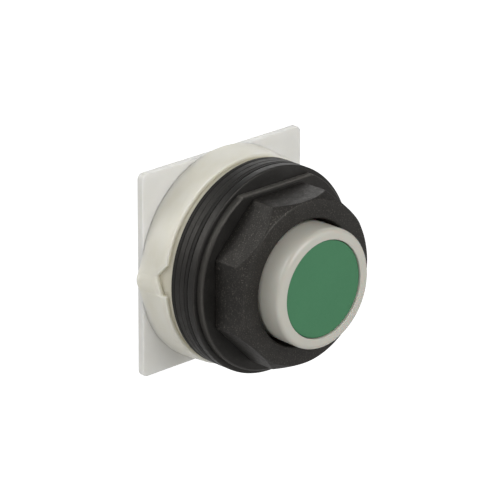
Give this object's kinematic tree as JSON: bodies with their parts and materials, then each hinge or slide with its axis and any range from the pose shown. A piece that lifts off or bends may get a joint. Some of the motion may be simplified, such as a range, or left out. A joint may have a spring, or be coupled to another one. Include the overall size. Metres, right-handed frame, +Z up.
{
  "type": "industrial push button",
  "caption": "Panel-mounted industrial push button: round extended button in an octagonal ring nut on a threaded bushing, with sealing rings, drum body and square rear plate.",
  "frame": {"origin": "on the button's axis, in the plane where the panel's rear face sits on the panel gasket", "axes": "+Z up as mounted on an upright panel, the button faces -Y, +Y runs back into the enclosure"},
  "size_m": [0.0455, 0.0304, 0.0444],
  "materials": {
    "natural_nylon": "satin, slightly translucent moulding",
    "pale_plate": "smooth satin moulding",
    "black_nylon": "fine moulded texture",
    "black_washer": "smooth satin",
    "black_rubber": "matt",
    "black_spacer": "satin",
    "light_grey_cap": "soft gloss",
    "green_insert": "fine matt",
    "white_acetal": "satin",
    "plated_steel": "zinc plated",
    "brass": "turned"
  },
  "bodies": {
    "housing": {"drum_shell": "natural_nylon", "rear_plate": "pale_plate", "bushing_o_ring": "black_rubber", "threaded_bushing": "black_nylon", "guide_bush": "white_acetal", "panel_gasket": "black_rubber", "front_spacer": "black_spacer", "rear_spacer": "black_spacer", "drum_gasket": "black_rubber", "wiper_seal": "black_rubber", "rubber_boot": "black_rubber", "boot_clamp_ring": "white_acetal", "spring_seat_washer": "plated_steel", "return_spring": "plated_steel", "plate_screws": "plated_steel", "threaded_inserts": "brass"},
    "button": {"button_cap": "light_grey_cap", "color_insert": "green_insert", "plunger": "white_acetal", "stop_washer": "black_rubber", "e_clip": "plated_steel", "actuator_pad": "white_acetal", "cap_screw": "plated_steel", "actuator_screw": "plated_steel"},
    "clamp_washers": {"front_disc": "black_washer", "thrust_washer": "black_washer"},
    "ring_nut": {"ring_nut": "black_nylon"}
  },
  "joints": [
    {"name": "button_press", "type": "slide", "parent": "housing", "child": "button", "axis": [0, 1, 0], "range_m": [0, 0.0055], "stiffness_N_per_m": 900, "springref_m": -0.005, "deforming": ["return_spring", "rubber_boot"]},
    {"name": "clamp_slide", "type": "slide", "parent": "housing", "child": "clamp_washers", "axis": [0, -1, 0], "range_m": [0, 0.00455]},
    {"name": "nut_turn", "type": "hinge", "parent": "clamp_washers", "child": "ring_nut", "pos_m": [0, 0, 0], "axis": [0, -1, 0], "range_deg": [0, 1080]}
  ],
  "couplings": [
    {"joint": "clamp_slide", "follows": "nut_turn", "m_per_rad": 0.00023873}
  ]
}
